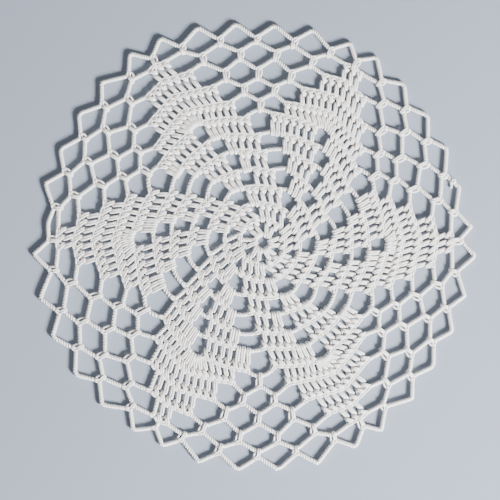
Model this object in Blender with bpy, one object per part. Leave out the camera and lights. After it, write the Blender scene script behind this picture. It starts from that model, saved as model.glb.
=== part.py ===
"""Round crochet lace doily: one flat sheet of cotton lace, worked from the centre outwards.

Six curved arms of solid stitches turn like a pinwheel. Each arm has two files of openings in its
inner rounds, and a net of chain loops fills the wedges between the arms out to a zigzag edge.
The sheet lies flat on z = 0. Its bounding box is centred on the origin, so the crocheted centre
is a little off it, because the lace is pulled further to one side.

Directions are compass degrees: 0 points along +Y and they grow clockwise, seen from above.
All lengths are in metres.
"""

import math
from collections import namedtuple

import bmesh
import bpy

# Driving sizes
SHEET_THICKNESS = 0.0016
STRAND_WIDTH = 0.0018
CENTRE_HOLE_RADIUS = 0.0022
ROUND_HOLE_CORNERS = 10
CORNER_CUT = 0.0010
ARMS = 6
WEDGE_DEGREES = 360 / ARMS
COTTON_COLOUR = (0.80, 0.78, 0.76, 1.0)
COTTON_ROUGHNESS = 0.85

# How unevenly the lace is tensioned, towards twelve directions: how far a stitch there is turned, in
# degrees, and how much further out than even it lies, in percent, near the centre and at the edge.
Tension = namedtuple("Tension", "direction inner_turn edge_turn inner_pull edge_pull")
TENSIONS = (
    Tension(0, -1.5, -2.0, 3.0, -0.8),
    Tension(30, -2.0, -2.7, 1.0, -1.3),
    Tension(60, -0.9, -2.4, -2.5, -5.8),
    Tension(90, 0.0, -0.6, -4.0, -5.2),
    Tension(120, 1.0, 0.2, -2.8, -4.6),
    Tension(150, 1.0, 1.4, -0.3, 0.5),
    Tension(180, 0.7, 0.9, 1.0, 3.5),
    Tension(210, 0.9, 0.3, 0.0, 2.9),
    Tension(240, -0.3, 0.1, 0.7, 4.0),
    Tension(270, 0.7, 0.8, -1.0, 3.0),
    Tension(300, 1.0, -0.2, 0.8, 1.5),
    Tension(330, -0.7, -1.1, 4.0, 3.6),
)
INNER_UP_TO = 0.042
EDGE_FROM = 0.066

# The openings in the solid rounds, one of each kind in every wedge.
Opening = namedtuple("Opening", "direction inner outer width")
OPENINGS = (
    Opening(33.2, 0.0154, 0.0217, 0.0065),
    Opening(20.5, 0.0213, 0.0278, 0.0073),
    Opening(48.2, 0.0217, 0.0274, 0.0058),
    Opening(12.8, 0.0286, 0.0346, 0.0084),
    Opening(42.0, 0.0289, 0.0357, 0.0053),
    Opening(6.7, 0.0355, 0.0411, 0.0092),
    Opening(36.6, 0.0362, 0.0427, 0.0056),
    Opening(0.2, 0.0419, 0.0504, 0.0076),
    Opening(31.1, 0.0430, 0.0502, 0.0054),
)

# The rounds of the net, from the last solid round, whose one space between two arms starts it.
# Each has one chain loop more in a wedge than the round below it, and a narrower arm.
# arm_top is the radius of the arm's stitch tops; foot and tip are those of a loop's ends and peak.
NetRound = namedtuple("NetRound", "loops arm_half_angle arm_top foot tip loop_pitch")
NET_ROUNDS = (
    NetRound(1, 24.4, 0.0493, 0.0493, 0.0513, 0.0),
    NetRound(2, 18.2, 0.0555, 0.0540, 0.0574, 12.8),
    NetRound(3, 13.5, 0.0631, 0.0606, 0.0634, 11.9),
    NetRound(4, 7.5, 0.0703, 0.0674, 0.0711, 11.6),
    NetRound(5, 2.4, 0.0774, 0.0743, 0.0779, 11.4),
    NetRound(6, 0.0, 0.0800, 0.0801, 0.0852, 10.4),
)
EDGE_LEVEL = len(NET_ROUNDS) - 1
NET_AXIS = 0.2
ARM_AXIS = 30.2

# Single edge loops that came out unlike their neighbours: how much further out their tip lies.
OddLoop = namedtuple("OddLoop", "wedge loop rise")
ODD_LOOPS = (
    OddLoop(1, 4, -0.0016),
    OddLoop(2, 0, 0.0008),
    OddLoop(2, 3, -0.0012),
    OddLoop(4, 5, 0.0008),
    OddLoop(5, 0, -0.0045),
    OddLoop(5, 5, 0.0012),
)


def tension_at(direction, column):
    """A TENSIONS column towards any direction, read from a smooth closed curve through its rows."""
    place = (direction % 360) / (360 / len(TENSIONS))
    row = int(place)
    t = place - row
    nearby = (TENSIONS[(row + n) % len(TENSIONS)] for n in (-1, 0, 1, 2))
    before, here, after, beyond = (getattr(tension, column) for tension in nearby)
    slope = after - before
    bend = 2 * before - 5 * here + 4 * after - beyond
    twist = 3 * (here - after) + beyond - before
    return here + 0.5 * t * (slope + t * (bend + t * twist))


def lace_point(direction, radius):
    """Where a stitch that an even doily has at this direction and radius lies in this one."""
    edge = min(max((radius - INNER_UP_TO) / (EDGE_FROM - INNER_UP_TO), 0.0), 1.0)
    inner_turn, edge_turn = tension_at(direction, "inner_turn"), tension_at(direction, "edge_turn")
    inner_pull, edge_pull = tension_at(direction, "inner_pull"), tension_at(direction, "edge_pull")
    turned = math.radians(direction + inner_turn + (edge_turn - inner_turn) * edge)
    reach = radius * (1 + (inner_pull + (edge_pull - inner_pull) * edge) / 100)
    return (reach * math.sin(turned), reach * math.cos(turned))


def round_hole(direction, inner, outer, width):
    """The corners of one rounded opening, clockwise from above."""
    middle = (inner + outer) / 2
    corners = []
    for step in range(ROUND_HOLE_CORNERS):
        t = 2 * math.pi * (step + 0.5) / ROUND_HOLE_CORNERS
        sideways = math.degrees(width / 2 * math.sin(t) / middle)
        corners.append(lace_point(direction + sideways, middle + (outer - inner) / 2 * math.cos(t)))
    return corners


def centre_hole():
    """The corners of the ring's opening, clockwise from above."""
    turns = [2 * math.pi * step / ROUND_HOLE_CORNERS for step in range(ROUND_HOLE_CORNERS)]
    return [(CENTRE_HOLE_RADIUS * math.sin(t), CENTRE_HOLE_RADIUS * math.cos(t)) for t in turns]


def loop_tips(wedge, level):
    """(direction, radius) of the peak of each chain loop in one wedge, clockwise."""
    net = NET_ROUNDS[level]
    middle = WEDGE_DEGREES * wedge + NET_AXIS
    tips = []
    for loop in range(net.loops):
        odd = [o.rise for o in ODD_LOOPS if (level, o.wedge, o.loop) == (EDGE_LEVEL, wedge, loop)]
        tips.append((middle + (loop - (net.loops - 1) / 2) * net.loop_pitch, net.tip + sum(odd)))
    return tips


def loop_feet(wedge, level):
    """(direction, radius) of the points that one wedge's loops hang between, from arm to arm."""
    net = NET_ROUNDS[level]
    middle = WEDGE_DEGREES * wedge + ARM_AXIS
    arm_before = (middle - WEDGE_DEGREES + net.arm_half_angle, net.arm_top)
    arm_after = (middle - net.arm_half_angle, net.arm_top)
    joints = [(direction, net.foot) for direction, _ in loop_tips(wedge, level - 1)] if level else []
    return [arm_before, *joints, arm_after]


def net_cell(wedge, level, loop):
    """The middle lines of the strands round one opening of the net, clockwise from above."""
    tips, feet = loop_tips(wedge, level), loop_feet(wedge, level)
    tips_below, feet_below = loop_tips(wedge, level - 1), loop_feet(wedge, level - 1)
    arm_top_below = NET_ROUNDS[level - 1].arm_top
    left = tips_below[loop - 1] if loop else (feet[0][0], arm_top_below)
    right = tips_below[loop] if loop < len(tips_below) else (feet[-1][0], arm_top_below)
    corners = [feet[loop], tips[loop], feet[loop + 1], right, feet_below[loop], left]
    return [lace_point(direction, radius) for direction, radius in corners]


def edge_line():
    """The middle line of the zigzag edge, clockwise from above."""
    line = []
    for wedge in range(ARMS):
        for foot, tip in zip(loop_feet(wedge, EDGE_LEVEL), loop_tips(wedge, EDGE_LEVEL)):
            line += [lace_point(*foot), lace_point(*tip)]
    return line


def offset(corners, distance):
    """A clockwise polygon with every side moved outwards by a distance, or inwards by a negative one."""
    moved = []
    for before, corner, after in zip(corners[-1:] + corners[:-1], corners, corners[1:] + corners[:1]):
        x1, y1 = corner[0] - before[0], corner[1] - before[1]
        x2, y2 = after[0] - corner[0], after[1] - corner[1]
        length1, length2 = math.hypot(x1, y1), math.hypot(x2, y2)
        normal1, normal2 = (-y1 / length1, x1 / length1), (-y2 / length2, x2 / length2)
        across = (normal1[0] + normal2[0], normal1[1] + normal2[1])
        scale = distance * 2 / (across[0] ** 2 + across[1] ** 2)
        moved.append((corner[0] + across[0] * scale, corner[1] + across[1] * scale))
    return moved


def rounded(corners, cut):
    """A polygon with each corner cut off, by at most a third of the shorter side beside it."""
    softened = []
    for before, corner, after in zip(corners[-1:] + corners[:-1], corners, corners[1:] + corners[:1]):
        shorter = min(math.dist(before, corner), math.dist(corner, after))
        step = min(cut, shorter / 3)
        for end in (before, after):
            share = step / math.dist(end, corner)
            softened.append(tuple(c + (e - c) * share for c, e in zip(corner, end)))
    return softened


def holes():
    """Every opening of the lace."""
    found = [centre_hole()]
    for wedge in range(ARMS):
        turn = WEDGE_DEGREES * wedge
        found += [round_hole(turn + o.direction, o.inner, o.outer, o.width) for o in OPENINGS]
        for level in range(1, len(NET_ROUNDS)):
            for loop in range(NET_ROUNDS[level].loops):
                cell = net_cell(wedge, level, loop)
                found.append(rounded(offset(cell, -STRAND_WIDTH / 2), CORNER_CUT))
    return found


def box_middle(corners):
    """The middle of the box round an outline."""
    sides = list(zip(*corners))
    return tuple((min(side) + max(side)) / 2 for side in sides)


def cotton():
    """Matt white cotton."""
    material = bpy.data.materials.new("white_cotton")
    material.use_nodes = True
    shader = material.node_tree.nodes["Principled BSDF"]
    shader.inputs["Base Color"].default_value = COTTON_COLOUR
    shader.inputs["Roughness"].default_value = COTTON_ROUGHNESS
    shader.inputs["Metallic"].default_value = 0.0
    return material


def build_doily():
    """The outline filled round its holes, and raised to the sheet's thickness."""
    outline = rounded(offset(edge_line(), STRAND_WIDTH / 2), CORNER_CUT)
    shift_x, shift_y = box_middle(outline)
    sheet = bmesh.new()
    for ring in [outline, *holes()]:
        corners = [sheet.verts.new((x - shift_x, y - shift_y, 0.0)) for x, y in ring]
        for first, second in zip(corners, corners[1:] + corners[:1]):
            sheet.edges.new((first, second))
    bmesh.ops.triangle_fill(sheet, edges=sheet.edges[:], use_beauty=True, normal=(0, 0, 1))
    raised = bmesh.ops.extrude_face_region(sheet, geom=sheet.faces[:])
    top = [item for item in raised["geom"] if isinstance(item, bmesh.types.BMVert)]
    bmesh.ops.translate(sheet, verts=top, vec=(0.0, 0.0, SHEET_THICKNESS))
    bmesh.ops.recalc_face_normals(sheet, faces=sheet.faces[:])
    mesh = bpy.data.meshes.new("doily")
    sheet.to_mesh(mesh)
    sheet.free()
    mesh.materials.append(cotton())
    doily = bpy.data.objects.new("doily", mesh)
    bpy.context.scene.collection.objects.link(doily)
    return doily


for startup_object in list(bpy.data.objects):
    bpy.data.objects.remove(startup_object, do_unlink=True)
build_doily()
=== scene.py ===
"""Lace doily, crocheted in the round from one white cotton thread and laid flat."""

import math
import random
from collections import namedtuple

import bpy
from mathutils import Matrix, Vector


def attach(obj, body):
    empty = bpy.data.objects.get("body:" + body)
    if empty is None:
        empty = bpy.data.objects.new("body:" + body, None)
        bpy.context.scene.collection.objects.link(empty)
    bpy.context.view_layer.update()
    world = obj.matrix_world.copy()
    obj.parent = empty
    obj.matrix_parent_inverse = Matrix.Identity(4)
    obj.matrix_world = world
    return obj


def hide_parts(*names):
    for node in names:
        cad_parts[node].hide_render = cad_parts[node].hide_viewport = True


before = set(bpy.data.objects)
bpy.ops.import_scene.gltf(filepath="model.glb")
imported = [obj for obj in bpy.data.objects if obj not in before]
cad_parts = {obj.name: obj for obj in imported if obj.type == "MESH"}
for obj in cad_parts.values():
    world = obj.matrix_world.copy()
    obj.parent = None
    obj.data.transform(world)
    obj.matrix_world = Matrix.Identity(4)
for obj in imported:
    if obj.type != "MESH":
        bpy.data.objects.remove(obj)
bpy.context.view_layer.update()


# --- The centre ring ---------------------------------------------------------------------------
# The thread starts as a few chain stitches closed into a ring. It is white mercerised cotton of
# three plies. Each stitch is a bight of thread drawn through the one before it.

THREAD_WIDTH = 0.00087
THREAD_SIDES = 6
SAMPLE_LENGTH = 0.00058
SMOOTHING_STEPS = 6
UNEVENNESS = 0.00016
WANDER_SCALE = 400
CHAIN_PLUMP = 1.07
PLIES = 3
PLY_LAY = 0.0026
PLY_DEPTH = THREAD_WIDTH / 12
# Painted shade: by the weight on the next line, the colour is mixed towards the grey two lines below in
# the grooves between the plies. The same grey also gives random patches of tone.
PLY_GROOVE_PAINTED_SHADE = 0.45
COTTON_WHITE = (0.86, 0.835, 0.815, 1.0)
GROOVE_SHADE_AND_PATCH_GREY = (0.74, 0.715, 0.70, 1.0)
PATCH_SCALE = 140
FIBRE_SCALE = 9000
FIBRE_RELIEF = 0.15
RING_STITCHES = 8
RING_RADIUS = 0.0034
LACE_CENTRE = Vector((0.0036, 0.0017))

# How unevenly the lace is tensioned, towards twelve directions: how far a stitch there is turned, in
# degrees, and how much further out than even it lies, in percent, near the centre and at the edge.
Tension = namedtuple("Tension", "direction inner_turn edge_turn inner_pull edge_pull")
TENSIONS = (
    Tension(0, -1.5, -2.0, 3.0, -0.8),
    Tension(30, -2.0, -2.7, 1.0, -1.3),
    Tension(60, -0.9, -2.4, -2.5, -5.8),
    Tension(90, 0.0, -0.6, -4.0, -5.2),
    Tension(120, 1.0, 0.2, -2.8, -4.6),
    Tension(150, 1.0, 1.4, -0.3, 0.5),
    Tension(180, 0.7, 0.9, 1.0, 3.5),
    Tension(210, 0.9, 0.3, 0.0, 2.9),
    Tension(240, -0.3, 0.1, 0.7, 4.0),
    Tension(270, 0.7, 0.8, -1.0, 3.0),
    Tension(300, 1.0, -0.2, 0.8, 1.5),
    Tension(330, -0.7, -1.1, 4.0, 3.6),
)
INNER_UP_TO = 0.042
EDGE_FROM = 0.066

# One chain stitch that lies flat as the head of another stitch: how far along it each bend of the
# thread lies, as a share of the stitch, and how far across and how high, in thread widths.
ChainBend = namedtuple("ChainBend", "along across height")
FLAT_CHAIN = (
    ChainBend(0.02, -0.16, 0.95),
    ChainBend(0.25, -0.34, 1.45),
    ChainBend(0.60, -0.52, 1.50),
    ChainBend(0.98, -0.50, 1.25),
    ChainBend(1.20, -0.24, 1.05),
    ChainBend(1.20, 0.24, 1.05),
    ChainBend(0.98, 0.50, 1.25),
    ChainBend(0.60, 0.52, 1.50),
    ChainBend(0.25, 0.34, 1.45),
    ChainBend(0.02, 0.16, 0.95),
)

# The same stitch in a chain that hangs free. It twists a little as it is stretched, so its two legs
# wind round each other, and the thread then passes behind it to the next stitch.
TWISTED_CHAIN = (
    ChainBend(0.00, -0.60, 1.10),
    ChainBend(0.25, 0.00, 1.55),
    ChainBend(0.50, 0.60, 1.10),
    ChainBend(0.75, 0.00, 0.60),
    ChainBend(1.00, -0.60, 1.10),
    ChainBend(1.08, 0.00, 0.90),
    ChainBend(1.00, 0.60, 1.10),
    ChainBend(0.75, 0.00, 1.55),
    ChainBend(0.50, -0.60, 1.10),
    ChainBend(0.25, 0.00, 0.60),
    ChainBend(0.00, 0.60, 1.10),
    ChainBend(0.30, 0.00, 0.50),
    ChainBend(0.70, 0.00, 0.50),
)


def tension_at(direction, column):
    """A TENSIONS column towards any direction, read from a smooth closed curve through its rows."""
    place = (direction % 360) / (360 / len(TENSIONS))
    row = int(place)
    t = place - row
    nearby = (TENSIONS[(row + n) % len(TENSIONS)] for n in (-1, 0, 1, 2))
    before, here, after, beyond = (getattr(tension, column) for tension in nearby)
    slope = after - before
    bend = 2 * before - 5 * here + 4 * after - beyond
    twist = 3 * (here - after) + beyond - before
    return here + 0.5 * t * (slope + t * (bend + t * twist))


def lace_point(direction, radius):
    """Where a stitch that an even doily has at this compass direction and radius lies in this one."""
    edge = min(max((radius - INNER_UP_TO) / (EDGE_FROM - INNER_UP_TO), 0.0), 1.0)
    inner_turn, edge_turn = tension_at(direction, "inner_turn"), tension_at(direction, "edge_turn")
    inner_pull, edge_pull = tension_at(direction, "inner_pull"), tension_at(direction, "edge_pull")
    turned = math.radians(direction + inner_turn + (edge_turn - inner_turn) * edge)
    reach = radius * (1 + (inner_pull + (edge_pull - inner_pull) * edge) / 100)
    return LACE_CENTRE + reach * Vector((math.sin(turned), math.cos(turned)))


def chain_bends(bends, start, end):
    """The thread's bends in a chain stitch from start to end."""
    along = end - start
    across = Vector((along.y, -along.x)).normalized() * THREAD_WIDTH
    path = []
    for bend in bends:
        place = start + along * bend.along + across * bend.across
        path.append((place.x, place.y, bend.height * THREAD_WIDTH, CHAIN_PLUMP))
    return path


def chain_stitches(places):
    """The thread's path through chain stitches from each place to the next."""
    path = []
    for start, end in zip(places, places[1:]):
        path += chain_bends(TWISTED_CHAIN, start, end)
    return path


def cotton():
    """White cotton thread: the plies wind round it as low ridges, with a little grey painted between them
    as shade in the grooves, and patches of grey tone at random.
    """
    material = bpy.data.materials.new("white_cotton")
    material.use_nodes = True
    nodes, links = material.node_tree.nodes, material.node_tree.links
    shader = nodes["Principled BSDF"]
    shader.inputs["Roughness"].default_value = 0.72
    shader.inputs["Sheen Weight"].default_value = 0.25
    shader.inputs["Sheen Roughness"].default_value = 0.5
    shader.inputs["Specular IOR Level"].default_value = 0.3

    winding = nodes.new("ShaderNodeUVMap")
    winding.uv_map = "winding"
    split = nodes.new("ShaderNodeSeparateXYZ")
    links.new(winding.outputs["UV"], split.inputs["Vector"])
    turns = nodes.new("ShaderNodeMath")
    turns.operation = "MULTIPLY_ADD"
    turns.inputs[1].default_value = PLIES
    links.new(split.outputs["X"], turns.inputs[0])
    lays = nodes.new("ShaderNodeMath")
    lays.operation = "DIVIDE"
    lays.inputs[1].default_value = PLY_LAY / PLIES
    links.new(split.outputs["Y"], lays.inputs[0])
    links.new(lays.outputs["Value"], turns.inputs[2])
    half_turns = nodes.new("ShaderNodeMath")
    half_turns.operation = "MULTIPLY"
    half_turns.inputs[1].default_value = math.pi
    links.new(turns.outputs["Value"], half_turns.inputs[0])
    wave = nodes.new("ShaderNodeMath")
    wave.operation = "SINE"
    links.new(half_turns.outputs["Value"], wave.inputs[0])
    ridge = nodes.new("ShaderNodeMath")
    ridge.operation = "ABSOLUTE"
    links.new(wave.outputs["Value"], ridge.inputs[0])

    place = nodes.new("ShaderNodeTexCoord")
    patches = nodes.new("ShaderNodeTexNoise")
    patches.inputs["Scale"].default_value = PATCH_SCALE
    patches.inputs["Detail"].default_value = 3
    links.new(place.outputs["Object"], patches.inputs["Vector"])
    # Painted shade: the colour turns grey in the grooves between the plies, where shade falls. The noise
    # adds random patches of grey tone.
    groove_shade_and_patches = nodes.new("ShaderNodeMath")
    groove_shade_and_patches.operation = "MULTIPLY_ADD"
    groove_shade_and_patches.inputs[1].default_value = PLY_GROOVE_PAINTED_SHADE
    links.new(ridge.outputs["Value"], groove_shade_and_patches.inputs[0])
    links.new(patches.outputs["Fac"], groove_shade_and_patches.inputs[2])
    tint = nodes.new("ShaderNodeMix")
    tint.data_type = "RGBA"
    tint.inputs["A"].default_value = GROOVE_SHADE_AND_PATCH_GREY
    tint.inputs["B"].default_value = COTTON_WHITE
    links.new(groove_shade_and_patches.outputs["Value"], tint.inputs["Factor"])
    links.new(tint.outputs["Result"], shader.inputs["Base Color"])

    fibres = nodes.new("ShaderNodeTexNoise")
    fibres.inputs["Scale"].default_value = FIBRE_SCALE
    links.new(place.outputs["Object"], fibres.inputs["Vector"])
    relief = nodes.new("ShaderNodeMath")
    relief.operation = "MULTIPLY_ADD"
    relief.inputs[1].default_value = FIBRE_RELIEF
    links.new(fibres.outputs["Fac"], relief.inputs[0])
    links.new(ridge.outputs["Value"], relief.inputs[2])
    bump = nodes.new("ShaderNodeBump")
    bump.inputs["Strength"].default_value = 0.5
    bump.inputs["Distance"].default_value = PLY_DEPTH
    links.new(relief.outputs["Value"], bump.inputs["Height"])
    links.new(bump.outputs["Normal"], shader.inputs["Normal"])
    return material


def thread_tree():
    """Nodes that lay a thread along splines: smoothed, a little uneven, with its winding as a UV map."""
    tree = bpy.data.node_groups.new("crocheted_thread", "GeometryNodeTree")
    tree.is_modifier = True
    sockets = (
        ("Path", "INPUT", "NodeSocketGeometry"),
        ("Thread width", "INPUT", "NodeSocketFloat"),
        ("Sides", "INPUT", "NodeSocketInt"),
        ("Sample length", "INPUT", "NodeSocketFloat"),
        ("Unevenness", "INPUT", "NodeSocketFloat"),
        ("Seed", "INPUT", "NodeSocketFloat"),
        ("Cotton", "INPUT", "NodeSocketMaterial"),
        ("Thread", "OUTPUT", "NodeSocketGeometry"),
    )
    for name, way, kind in sockets:
        tree.interface.new_socket(name, in_out=way, socket_type=kind)
    nodes, links = tree.nodes, tree.links
    given = nodes.new("NodeGroupInput")

    smooth = nodes.new("GeometryNodeCurveSplineType")
    smooth.spline_type = "CATMULL_ROM"
    links.new(given.outputs["Path"], smooth.inputs["Curve"])
    fine = nodes.new("GeometryNodeSetSplineResolution")
    fine.inputs["Resolution"].default_value = SMOOTHING_STEPS
    links.new(smooth.outputs["Curve"], fine.inputs["Geometry"])
    sampled = nodes.new("GeometryNodeResampleCurve")
    sampled.mode = "LENGTH"
    links.new(fine.outputs["Geometry"], sampled.inputs["Curve"])
    links.new(given.outputs["Sample length"], sampled.inputs["Length"])

    wander = nodes.new("ShaderNodeTexNoise")
    wander.noise_dimensions = "4D"
    wander.inputs["Scale"].default_value = WANDER_SCALE
    links.new(given.outputs["Seed"], wander.inputs["W"])
    centred = nodes.new("ShaderNodeVectorMath")
    centred.operation = "SUBTRACT"
    centred.inputs[1].default_value = (0.5, 0.5, 0.5)
    links.new(wander.outputs["Color"], centred.inputs[0])
    amount = nodes.new("ShaderNodeVectorMath")
    amount.operation = "SCALE"
    links.new(centred.outputs["Vector"], amount.inputs["Vector"])
    links.new(given.outputs["Unevenness"], amount.inputs["Scale"])
    moved = nodes.new("GeometryNodeSetPosition")
    links.new(sampled.outputs["Curve"], moved.inputs["Geometry"])
    links.new(amount.outputs["Vector"], moved.inputs["Offset"])

    length = nodes.new("GeometryNodeSplineParameter")
    along = nodes.new("GeometryNodeStoreNamedAttribute")
    along.data_type = "FLOAT"
    along.domain = "POINT"
    along.inputs["Name"].default_value = "along"
    links.new(moved.outputs["Geometry"], along.inputs["Geometry"])
    links.new(length.outputs["Length"], along.inputs["Value"])

    radius = nodes.new("ShaderNodeMath")
    radius.operation = "MULTIPLY"
    radius.inputs[1].default_value = 0.5
    links.new(given.outputs["Thread width"], radius.inputs[0])
    section = nodes.new("GeometryNodeCurvePrimitiveCircle")
    links.new(given.outputs["Sides"], section.inputs["Resolution"])
    links.new(radius.outputs["Value"], section.inputs["Radius"])
    around_section = nodes.new("GeometryNodeSplineParameter")
    around = nodes.new("GeometryNodeStoreNamedAttribute")
    around.data_type = "FLOAT"
    around.domain = "POINT"
    around.inputs["Name"].default_value = "around"
    links.new(section.outputs["Curve"], around.inputs["Geometry"])
    links.new(around_section.outputs["Factor"], around.inputs["Value"])
    tube = nodes.new("GeometryNodeCurveToMesh")
    tube.inputs["Fill Caps"].default_value = True
    links.new(along.outputs["Geometry"], tube.inputs["Curve"])
    links.new(around.outputs["Geometry"], tube.inputs["Profile Curve"])
    plumpness = nodes.new("GeometryNodeInputRadius")
    links.new(plumpness.outputs["Radius"], tube.inputs["Scale"])

    read_around = nodes.new("GeometryNodeInputNamedAttribute")
    read_around.data_type = "FLOAT"
    read_around.inputs["Name"].default_value = "around"
    read_along = nodes.new("GeometryNodeInputNamedAttribute")
    read_along.data_type = "FLOAT"
    read_along.inputs["Name"].default_value = "along"
    face_around = nodes.new("GeometryNodeFieldOnDomain")
    face_around.domain = "FACE"
    face_around.data_type = "FLOAT"
    links.new(read_around.outputs["Attribute"], face_around.inputs["Value"])
    at_start = nodes.new("FunctionNodeCompare")
    at_start.operation = "LESS_THAN"
    at_start.inputs["B"].default_value = 0.01
    links.new(read_around.outputs["Attribute"], at_start.inputs["A"])
    past_half = nodes.new("FunctionNodeCompare")
    past_half.operation = "GREATER_THAN"
    past_half.inputs["B"].default_value = 0.2
    links.new(face_around.outputs["Value"], past_half.inputs["A"])
    last_face = nodes.new("FunctionNodeBooleanMath")
    last_face.operation = "AND"
    links.new(at_start.outputs["Result"], last_face.inputs[0])
    links.new(past_half.outputs["Result"], last_face.inputs[1])
    full_turn = nodes.new("ShaderNodeMath")
    full_turn.operation = "ADD"
    links.new(read_around.outputs["Attribute"], full_turn.inputs[0])
    links.new(last_face.outputs["Boolean"], full_turn.inputs[1])
    pair = nodes.new("ShaderNodeCombineXYZ")
    links.new(full_turn.outputs["Value"], pair.inputs["X"])
    links.new(read_along.outputs["Attribute"], pair.inputs["Y"])
    winding = nodes.new("GeometryNodeStoreNamedAttribute")
    winding.data_type = "FLOAT2"
    winding.domain = "CORNER"
    winding.inputs["Name"].default_value = "winding"
    links.new(tube.outputs["Mesh"], winding.inputs["Geometry"])
    links.new(pair.outputs["Vector"], winding.inputs["Value"])

    shaded = nodes.new("GeometryNodeSetShadeSmooth")
    links.new(winding.outputs["Geometry"], shaded.inputs["Geometry"])
    realised = nodes.new("GeometryNodeRealizeInstances")
    links.new(shaded.outputs["Geometry"], realised.inputs["Geometry"])
    finished = nodes.new("GeometryNodeSetMaterial")
    links.new(realised.outputs["Geometry"], finished.inputs["Geometry"])
    links.new(given.outputs["Cotton"], finished.inputs["Material"])
    result = nodes.new("NodeGroupOutput")
    links.new(finished.outputs["Geometry"], result.inputs["Thread"])
    return tree


WHITE_COTTON = cotton()
THREAD_TREE = thread_tree()
THREAD_SEEDS = random.Random(12)


def thread_piece(name, paths):
    """A piece of the doily: thread laid along the given paths."""
    curve = bpy.data.curves.new(name + "_path", "CURVE")
    curve.dimensions = "3D"
    for path in paths:
        spline = curve.splines.new("POLY")
        spline.points.add(len(path) - 1)
        for point, (x, y, z, plump) in zip(spline.points, path):
            point.co = (x, y, z, 1.0)
            point.radius = plump
    guide = bpy.data.objects.new(name + "_path", curve)
    bpy.context.scene.collection.objects.link(guide)
    modifier = guide.modifiers.new("thread", "NODES")
    modifier.node_group = THREAD_TREE
    values = {
        "Thread width": THREAD_WIDTH,
        "Sides": THREAD_SIDES,
        "Sample length": SAMPLE_LENGTH,
        "Unevenness": UNEVENNESS,
        "Seed": THREAD_SEEDS.uniform(0, 100),
        "Cotton": WHITE_COTTON,
    }
    for item in THREAD_TREE.interface.items_tree:
        if item.name in values:
            modifier[item.identifier] = values[item.name]
    evaluated = guide.evaluated_get(bpy.context.evaluated_depsgraph_get())
    mesh = bpy.data.meshes.new_from_object(evaluated)
    mesh.name = name
    bpy.data.objects.remove(guide, do_unlink=True)
    bpy.data.curves.remove(curve)
    piece = bpy.data.objects.new(name, mesh)
    bpy.context.scene.collection.objects.link(piece)
    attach(piece, "root")
    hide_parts("doily")
    return piece


ring_places = [lace_point(-360 * n / RING_STITCHES, RING_RADIUS) for n in range(RING_STITCHES + 1)]
centre_ring = thread_piece("centre_ring", [chain_stitches(ring_places)])


# --- The solid centre: rounds 1 to 7 -------------------------------------------------------------
# Double crochet worked anticlockwise. Each wedge holds one block of stitches, and from round 4 two,
# with a chain space before each. Every block starts in the space below it, so that the spaces turn
# like a pinwheel. Every round starts with a column of three chain stitches in place of a stitch.

WEDGE_DEGREES = 60
WEDGES = 6
FIRST_WEDGE = 3
COLUMN_STITCHES = 3
SPACE_STEPS = 10
PEAK_SHARPNESS = 1.5
SHARED_PITCH = 0.0019
SHARED_SPREAD = 0.80
BASE_LAG = 0.65
RING_LAG = 8.0
JITTER = 0.00016
FOOT_SINKS = 0.9
LOWEST = 0.5
NEIGHBOUR_BENDS = 2

# A block of double crochet, clockwise: its round, the directions of its first and last stitch tops
# and their radii, the chain stitches in the space before it, the direction and radius of that
# chain's peak, its number of stitches, how many of them share the space below and where the first
# of those goes in, and how many stitches of the block below are skipped before the rest.
Block = namedtuple(
    "Block",
    "round first last first_top last_top chains peak peak_top stitches shared shared_base skipped",
)
BLOCKS = (
    Block(1, 74.0, 97.0, 0.0091, 0.0091, 2, 55.5, 0.0091, 2, 0, 0.0, 0),
    Block(2, 57.8, 91.4, 0.0149, 0.0149, 2, 44.6, 0.0151, 4, 2, 61.0, 0),
    Block(3, 44.0, 76.8, 0.0216, 0.0209, 4, 30.0, 0.0224, 5, 2, 46.0, 0),
    Block(4, 27.7, 38.8, 0.0290, 0.0281, 4, 20.2, 0.0295, 3, 3, 30.0, 0),
    Block(4, 54.8, 67.1, 0.0281, 0.0269, 3, 46.6, 0.0281, 3, 0, 0.0, 1),
    Block(5, 20.1, 34.4, 0.0359, 0.0355, 4, 13.7, 0.0360, 4, 2, 21.6, 0),
    Block(5, 46.5, 60.8, 0.0355, 0.0339, 3, 40.3, 0.0361, 4, 2, 47.2, 0),
    Block(6, 13.8, 29.7, 0.0418, 0.0421, 4, 7.0, 0.0418, 5, 2, 15.0, 0),
    Block(6, 41.3, 57.6, 0.0423, 0.0401, 3, 35.5, 0.0431, 5, 2, 42.2, 0),
    Block(7, 6.2, 25.6, 0.0491, 0.0491, 4, 0.6, 0.0507, 7, 3, 6.8, 0),
    Block(7, 34.9, 53.0, 0.0500, 0.0472, 3, 30.1, 0.0509, 7, 3, 35.4, 0),
)

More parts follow.
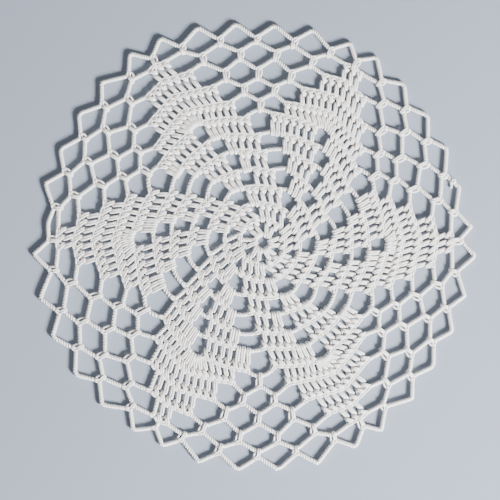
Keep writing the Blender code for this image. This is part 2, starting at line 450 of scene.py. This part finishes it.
# One double crochet stitch, from the top of the stitch before it: how far to the side each bend of
# the thread lies, in thread widths, how far up the stitch, as a share of its height and in thread
# widths beyond that, how high above the table, in thread widths, and how plump the thread is there.
# It passes behind, makes the lower loop, which holds the row below, and then the upper loop, which
# leans to the side over the lower one, and ends behind its own head.
PostBend = namedtuple("PostBend", "side rise beyond height plump")
DOUBLE_CROCHET = (
    PostBend(-2.40, 0.78, 0.0, 0.55, 1.0),
    PostBend(-1.65, 0.66, 0.0, 0.85, 1.0),
    PostBend(-0.60, 0.60, 0.0, 0.55, 1.0),
    PostBend(0.40, 0.64, 0.0, 0.60, 1.0),
    PostBend(0.60, 0.60, 0.0, 1.15, 1.1),
    PostBend(0.56, 0.42, 0.0, 1.55, 1.15),
    PostBend(0.42, 0.18, 0.0, 1.55, 1.15),
    PostBend(0.48, 0.00, -0.20, 1.90, 1.1),
    PostBend(0.45, 0.00, -1.20, 1.45, 1.0),
    PostBend(0.28, 0.00, -1.10, 0.70, 1.0),
    PostBend(0.00, 0.15, 0.0, 0.50, 1.0),
    PostBend(-0.35, 0.00, -1.10, 0.70, 1.0),
    PostBend(-0.50, 0.00, -1.20, 1.45, 1.0),
    PostBend(-0.52, 0.00, -0.20, 1.90, 1.1),
    PostBend(-0.45, 0.18, 0.0, 1.50, 1.15),
    PostBend(-0.30, 0.42, 0.0, 1.40, 1.15),
    PostBend(-0.15, 0.57, 0.0, 0.95, 1.0),
    PostBend(-0.30, 0.62, 0.0, 0.50, 1.0),
    PostBend(-0.60, 0.56, 0.0, 0.80, 1.0),
    PostBend(-0.50, 0.63, 0.0, 1.60, 1.1),
    PostBend(0.00, 0.77, 0.0, 1.75, 1.1),
    PostBend(0.50, 0.90, 0.0, 1.65, 1.1),
    PostBend(0.85, 1.00, -0.35, 1.45, 1.0),
    PostBend(0.25, 1.00, 0.15, 1.00, 1.0),
    PostBend(-0.30, 1.00, -0.45, 1.50, 1.0),
    PostBend(-0.55, 0.86, 0.0, 1.65, 1.1),
    PostBend(-0.95, 0.74, 0.0, 1.65, 1.1),
    PostBend(-1.25, 0.62, 0.0, 1.25, 1.1),
    PostBend(-1.15, 0.54, 0.0, 0.70, 1.0),
    PostBend(-0.40, 0.68, 0.0, 0.50, 1.0),
    PostBend(0.20, 0.88, 0.0, 0.50, 1.0),
)

# A stitch stands from its base to its top, and it may go in under a head, which then covers its
# foot. A chain between two stitches has a number of stitches and a middle line. Bases, tops and the
# places on a line are (direction, radius) pairs.
Stitch = namedtuple("Stitch", "bends base top under_head")
Chain = namedtuple("Chain", "stitches line")
STITCH_JITTER = random.Random(5)


def jittered(place):
    """A place moved a little, as hand work is."""
    right = STITCH_JITTER.uniform(-JITTER, JITTER)
    up = STITCH_JITTER.uniform(-JITTER, JITTER)
    return place + Vector((right, up))


def post_bends(bends, base, top, under_head):
    """The thread's bends in a stitch that stands from base to top."""
    rise = top - base
    up = rise.normalized() * THREAD_WIDTH
    side = Vector((-up.y, up.x))
    path = []
    for bend in bends:
        place = base + rise * bend.rise + up * bend.beyond + side * bend.side
        height = bend.height
        if under_head and bend.rise == 0:
            height = max(height - FOOT_SINKS, LOWEST)
        path.append((place.x, place.y, height * THREAD_WIDTH, bend.plump))
    return path


def even_steps(line, steps):
    """Places at even distances along a line of points, with its two ends."""
    lengths = [(b - a).length for a, b in zip(line, line[1:])]
    places = [line[0]]
    for n in range(1, steps):
        left = sum(lengths) * n / steps
        span = 0
        while left > lengths[span]:
            left -= lengths[span]
            span += 1
        places.append(line[span].lerp(line[span + 1], left / lengths[span]))
    return [*places, line[-1]]


def round_path(items):
    """The thread's path through a round, which starts with a column and closes on its top."""
    first = items[0]
    column_top = lace_point(*first.top)
    path = chain_stitches(even_steps([lace_point(*first.base), column_top], COLUMN_STITCHES))
    here, chain = column_top, None
    for item in [*items[1:], first]:
        if isinstance(item, Chain):
            chain = item
            continue
        closing = item is first
        top = column_top if closing else jittered(lace_point(*item.top))
        places = [here, top]
        if chain:
            line = [here, *(lace_point(*place) for place in chain.line), top]
            places = even_steps(line, chain.stitches + 1)
        path += chain_stitches(places[:-1])
        path += chain_bends(FLAT_CHAIN, places[-2], places[-1])
        if not closing:
            bends = item.bends[NEIGHBOUR_BENDS:] if chain and item.bends is DOUBLE_CROCHET else item.bends
            path += post_bends(bends, jittered(lace_point(*item.base)), top, item.under_head)
        here, chain = top, None
    return path


def turned(place, wedge):
    """A (direction, radius) pair moved round to another wedge."""
    return (place[0] + WEDGE_DEGREES * wedge, place[1])


def space_feet(block):
    """The two feet of the chain before a block: the top before it and its own first top."""
    same = [b for b in BLOCKS if b.round == block.round]
    before = same[same.index(block) - 1]
    last = before.last - WEDGE_DEGREES if before.last > block.first else before.last
    return (last, before.last_top), (block.first, block.first_top)


def row_place(block, direction):
    """Where the top of a row lies towards a direction in a block or in the space before it."""
    if direction >= block.first:
        t = (direction - block.first) / (block.last - block.first)
        return (direction, block.first_top + (block.last_top - block.first_top) * t)
    for foot in space_feet(block):
        t = (direction - foot[0]) / (block.peak - foot[0])
        if 0 <= t <= 1:
            return (direction, foot[1] + (block.peak_top - foot[1]) * (1 - (1 - t) ** PEAK_SHARPNESS))


def block_tops(block):
    """The tops of a block's stitches, clockwise, those that share a space closer together."""
    gaps = [SHARED_SPREAD] * max(block.shared - 1, 0)
    gaps += [1.0] * (block.stitches - 1 - len(gaps))
    degrees = (block.last - block.first) / sum(gaps)
    return [row_place(block, block.first + degrees * sum(gaps[:n])) for n in range(block.stitches)]


def base_on(tops, index, lag=BASE_LAG):
    """Where a stitch goes in under the head of a stitch of the row below, a little past its top."""
    here = tops[index]
    step = tops[index + 1][0] - here[0] if index + 1 < len(tops) else here[0] - tops[index - 1][0]
    rise = tops[index + 1][1] - here[1] if index + 1 < len(tops) else 0.0
    return (here[0] + lag * step, here[1] + lag * rise)


def block_bases(block):
    """Where a block's stitches go into the round below, clockwise."""
    if block.round == 1:
        return [(direction + RING_LAG, RING_RADIUS) for direction, _ in block_tops(block)]
    same = [b for b in BLOCKS if b.round == block.round]
    below = [b for b in BLOCKS if b.round == block.round - 1]
    parent = below[min(same.index(block), len(below) - 1)]
    tops_below = block_tops(parent)
    pitch = math.degrees(SHARED_PITCH / parent.first_top)
    bases = [row_place(parent, block.shared_base + pitch * n) for n in range(block.shared)]
    return bases + [base_on(tops_below, block.skipped + n) for n in range(block.stitches - block.shared)]


def solid_round(number):
    """The stitches and chains of a solid round, in working order."""
    items = []
    for wedge in range(FIRST_WEDGE, FIRST_WEDGE - WEDGES, -1):
        for block in reversed([b for b in BLOCKS if b.round == number]):
            for n, (base, top) in reversed(list(enumerate(zip(block_bases(block), block_tops(block))))):
                under_head = number > 1 and n >= block.shared
                items.append(Stitch(DOUBLE_CROCHET, turned(base, wedge), turned(top, wedge), under_head))
            foot, end = space_feet(block)
            shares = [n / SPACE_STEPS for n in range(SPACE_STEPS - 1, 0, -1)]
            line = [row_place(block, foot[0] + (end[0] - foot[0]) * share) for share in shares]
            items.append(Chain(block.chains, [turned(place, wedge) for place in line]))
    return items


inner_rounds = thread_piece("rounds_1_to_5", [round_path(solid_round(n)) for n in range(1, 6)])
outer_rounds = thread_piece("rounds_6_and_7", [round_path(solid_round(n)) for n in (6, 7)])


# --- The arms' points and the net between them: rounds 8 to 11 -------------------------------------
# Each arm narrows by four stitches a round, and its stitches stand on those below. Between two arms
# the round goes on as loops of chain, each held to the tip of a loop below by a single crochet.

NET_AXIS = 0.2
ARM_AXIS = 29.8

# A round of arms and net: its loops and arm stitches in a wedge, how many degrees the arm's tops
# span, the radius of the tops at the arm's corners and at its middle, the radius of a loop's foot
# and of its tip, how many degrees apart the loops are, and how many chain stitches make one.
NetRound = namedtuple(
    "NetRound", "loops arm_stitches arm_span arm_corner arm_top foot tip loop_pitch chains"
)
NET_ROUNDS = (
    NetRound(1, 0, 0.0, 0.0000, 0.0000, 0.0493, 0.0507, 0.0, 4),
    NetRound(2, 15, 37.2, 0.0543, 0.0570, 0.0542, 0.0578, 11.6, 6),
    NetRound(3, 11, 26.0, 0.0617, 0.0640, 0.0604, 0.0641, 11.3, 6),
    NetRound(4, 7, 14.7, 0.0696, 0.0709, 0.0672, 0.0718, 11.35, 7),
    NetRound(5, 3, 4.4, 0.0767, 0.0773, 0.0745, 0.0781, 10.8, 7),
    NetRound(6, 1, 0.0, 0.0800, 0.0800, 0.0797, 0.0852, 10.35, 8),
)
EDGE_LEVEL = 5
CROWN = 1.6
FAN_STITCHES = 5
FAN_FIRST_BASE = 28.1
FAN_PITCH = 1.45
LEFT_LAG = 0.35
RIGHT_LAG = 0.75
TIP_JITTER = 0.0005

# One single crochet, in the same terms as a double crochet: a strand down its clockwise side, under
# the loop below, and then one loop up to its head.
SINGLE_CROCHET = (
    PostBend(-2.00, 0.90, 0.0, 1.15, 1.0),
    PostBend(-1.95, 0.50, 0.0, 1.30, 1.0),
    PostBend(-1.50, 0.12, 0.0, 1.20, 1.0),
    PostBend(-1.00, 0.00, -0.6, 0.80, 1.0),
    PostBend(-0.30, 0.00, -1.15, 0.50, 1.0),
    PostBend(0.20, 0.00, -1.40, 0.80, 1.0),
    PostBend(0.36, 0.00, -1.30, 1.50, 1.0),
    PostBend(0.40, 0.05, -0.2, 2.00, 1.0),
    PostBend(0.40, 0.60, 0.0, 1.75, 1.0),
    PostBend(0.38, 1.00, -0.55, 1.45, 1.0),
    PostBend(0.00, 1.00, 0.05, 1.10, 1.0),
    PostBend(-0.38, 1.00, -0.55, 1.45, 1.0),
    PostBend(-0.40, 0.60, 0.0, 1.75, 1.0),
    PostBend(-0.40, 0.05, -0.2, 2.00, 1.0),
    PostBend(-0.36, 0.00, -1.30, 1.50, 1.0),
    PostBend(-0.25, 0.00, -1.30, 0.70, 1.0),
    PostBend(-0.10, 0.25, 0.0, 0.50, 1.0),
    PostBend(0.00, 0.85, 0.0, 0.50, 1.0),
)


def arm_tops(level):
    """The tops of an arm's stitches in wedge 0, clockwise."""
    net = NET_ROUNDS[level]
    if net.arm_stitches == 1:
        return [(ARM_AXIS, net.arm_top)]
    tops = []
    for n in range(net.arm_stitches):
        share = 2 * n / (net.arm_stitches - 1) - 1
        crown = (net.arm_top - net.arm_corner) * (1 - abs(share)) ** CROWN
        tops.append((ARM_AXIS + net.arm_span / 2 * share, net.arm_corner + crown))
    return tops


def arm_bases(level):
    """Where an arm's stitches go into the round below in wedge 0, clockwise."""
    count = NET_ROUNDS[level].arm_stitches
    if level > 1:
        below = arm_tops(level - 1)
        skipped = (len(below) - count) // 2
        return [base_on(below, skipped + n) for n in range(count)]
    left, right = BLOCKS[-2:]
    each_side = (count - FAN_STITCHES) // 2
    bases = [base_on(block_tops(left), left.stitches - each_side + n, LEFT_LAG) for n in range(each_side)]
    bases += [row_place(right, FAN_FIRST_BASE + FAN_PITCH * n) for n in range(FAN_STITCHES)]
    return bases + [base_on(block_tops(right), n, RIGHT_LAG) for n in range(each_side)]


def loop_tips(level, wedge):
    """The tips of the chain loops in one wedge, clockwise."""
    net = NET_ROUNDS[level]
    tips = []
    for n in range(net.loops):
        chance = random.Random(100 * level + 10 * (wedge % WEDGES) + n)
        uneven = TIP_JITTER * level / EDGE_LEVEL
        radius = net.tip + chance.uniform(-uneven, uneven)
        direction = NET_AXIS + (n - (net.loops - 1) / 2) * net.loop_pitch
        direction += math.degrees(chance.uniform(-uneven, uneven) / net.tip)
        tips.append(turned((direction, radius), wedge))
    return tips


def net_round(level):
    """The stitches and loops of a round of arms and net, in working order."""
    net = NET_ROUNDS[level]
    items = []
    for wedge in range(FIRST_WEDGE, FIRST_WEDGE - WEDGES, -1):
        each_side = (net.arm_stitches - FAN_STITCHES) // 2
        for n, (base, top) in reversed(list(enumerate(zip(arm_bases(level), arm_tops(level))))):
            in_fan = level == 1 and each_side <= n < each_side + FAN_STITCHES
            items.append(Stitch(DOUBLE_CROCHET, turned(base, wedge), turned(top, wedge), not in_fan))
        joints = loop_tips(level - 1, wedge)
        for n, tip in reversed(list(enumerate(loop_tips(level, wedge)))):
            items.append(Chain(net.chains, [tip]))
            if n:
                joint = joints[n - 1]
                items.append(Stitch(SINGLE_CROCHET, joint, (joint[0], net.foot), False))
    return items


inner_net = thread_piece("rounds_8_and_9", [round_path(net_round(n)) for n in (1, 2)])
outer_net = thread_piece("rounds_10_and_11", [round_path(net_round(n)) for n in (3, 4)])


# --- The zigzag edge: round 12 -------------------------------------------------------------------
# The last round is chain loops all the way, six in a wedge, each held by a single crochet to a loop
# below, or to the middle stitch of an arm. Their tips are sharp, and a few are pulled awry.

# Loops of the edge that stand out of line: their wedge and place in it, clockwise, and how much
# further out than the others their tips are.
OddLoop = namedtuple("OddLoop", "wedge loop further")
ODD_LOOPS = (
    OddLoop(1, 4, -0.0016),
    OddLoop(2, 0, 0.0008),
    OddLoop(2, 3, -0.0012),
    OddLoop(4, 5, 0.0008),
    OddLoop(5, 0, -0.0045),
    OddLoop(5, 5, 0.0012),
)


def edge_round():
    """The stitches and loops of the edge, in working order."""
    net = NET_ROUNDS[EDGE_LEVEL]
    further = {(odd.wedge, odd.loop): odd.further for odd in ODD_LOOPS}
    items = []
    for wedge in range(FIRST_WEDGE, FIRST_WEDGE - WEDGES, -1):
        middle_stitch = turned(arm_tops(EDGE_LEVEL - 1)[1], wedge)
        items.append(Stitch(SINGLE_CROCHET, middle_stitch, (middle_stitch[0], net.arm_top), False))
        joints = loop_tips(EDGE_LEVEL - 1, wedge)
        for n, tip in reversed(list(enumerate(loop_tips(EDGE_LEVEL, wedge)))):
            radius = tip[1] + further.get((wedge % WEDGES, n), 0.0)
            items.append(Chain(net.chains, [(tip[0], radius)]))
            if n:
                joint = joints[n - 1]
                items.append(Stitch(SINGLE_CROCHET, joint, (joint[0], net.foot), False))
    return items


# The thread is fastened off with a knot in a loop of the edge, and a short end is left. Each bend
# lies so far to the right of the knot's middle, further up and above the table, in thread widths.
KnotBend = namedtuple("KnotBend", "right up height")
KNOT_PLACE = (73.8, 0.0819)
KNOT = (
    KnotBend(0.90, -0.60, 1.00),
    KnotBend(0.55, 0.60, 1.80),
    KnotBend(-0.60, 0.75, 1.80),
    KnotBend(-0.85, -0.30, 2.00),
    KnotBend(0.10, -0.65, 2.10),
    KnotBend(0.65, 0.10, 1.80),
    KnotBend(-0.20, 0.50, 1.40),
    KnotBend(-0.90, -0.25, 1.10),
    KnotBend(-0.95, -1.30, 0.80),
    KnotBend(-0.60, -2.30, 0.60),
    KnotBend(-1.30, -2.90, 0.60),
)


def knot_path():
    """The thread's path through the last knot to its cut end."""
    middle = lace_point(*KNOT_PLACE)
    path = []
    for bend in KNOT:
        place = middle + Vector((bend.right, bend.up)) * THREAD_WIDTH
        path.append((place.x, place.y, bend.height * THREAD_WIDTH, 1.0))
    return path


zigzag_edge = thread_piece("round_12", [round_path(edge_round()), knot_path()])


# --- Camera, floor and light ----------------------------------------------------------------------
# The camera looks straight down. A broad light stands low on the right in front, so that each strand
# throws a soft shadow up and to the left, and a weak one fills the other side.
CAMERA_HEIGHT = 0.60
SENSOR_WIDTH = 36
VIEW_WIDTH = 0.193
VIEW_CENTRE = (-0.00135, -0.00116)
FLOOR_PALE = (0.27, 0.31, 0.38, 1.0)
FLOOR_SIDE = 4.0
FLOOR_TOP = -0.0002
KEY_PLACE = (0.60, -0.50, 0.46)
FILL_PLACE = (-0.60, 0.40, 0.90)
SKY_PALE = (0.95, 0.97, 1.0, 1.0)
SKY_STRENGTH = 0.25

camera_data = bpy.data.cameras.new("camera")
camera_data.sensor_width = SENSOR_WIDTH
camera_data.lens = SENSOR_WIDTH * CAMERA_HEIGHT / VIEW_WIDTH
camera = bpy.data.objects.new("camera", camera_data)
camera.location = (*VIEW_CENTRE, CAMERA_HEIGHT)
bpy.context.scene.collection.objects.link(camera)
bpy.context.scene.camera = camera

floor_mesh = bpy.data.meshes.new("floor")
half = FLOOR_SIDE / 2
corners = [(x * half, y * half, FLOOR_TOP) for x, y in ((-1, -1), (1, -1), (1, 1), (-1, 1))]
floor_mesh.from_pydata(corners, [], [(0, 1, 2, 3)])
floor = bpy.data.objects.new("floor", floor_mesh)
bpy.context.scene.collection.objects.link(floor)
pale = bpy.data.materials.new("pale_floor")
pale.use_nodes = True
pale.node_tree.nodes["Principled BSDF"].inputs["Base Color"].default_value = FLOOR_PALE
pale.node_tree.nodes["Principled BSDF"].inputs["Roughness"].default_value = 0.9
floor_mesh.materials.append(pale)


def soft_light(name, place, size, power):
    """A square studio light that faces the middle of the doily."""
    data = bpy.data.lights.new(name, "AREA")
    data.size = size
    data.energy = power
    light = bpy.data.objects.new(name, data)
    light.location = place
    light.rotation_euler = (-Vector(place)).to_track_quat("-Z", "Y").to_euler()
    bpy.context.scene.collection.objects.link(light)


soft_light("key", KEY_PLACE, size=0.22, power=40.0)
soft_light("fill", FILL_PLACE, size=0.80, power=2.0)
world = bpy.data.worlds.new("studio")
world.use_nodes = True
world.node_tree.nodes["Background"].inputs["Color"].default_value = SKY_PALE
world.node_tree.nodes["Background"].inputs["Strength"].default_value = SKY_STRENGTH
bpy.context.scene.world = world
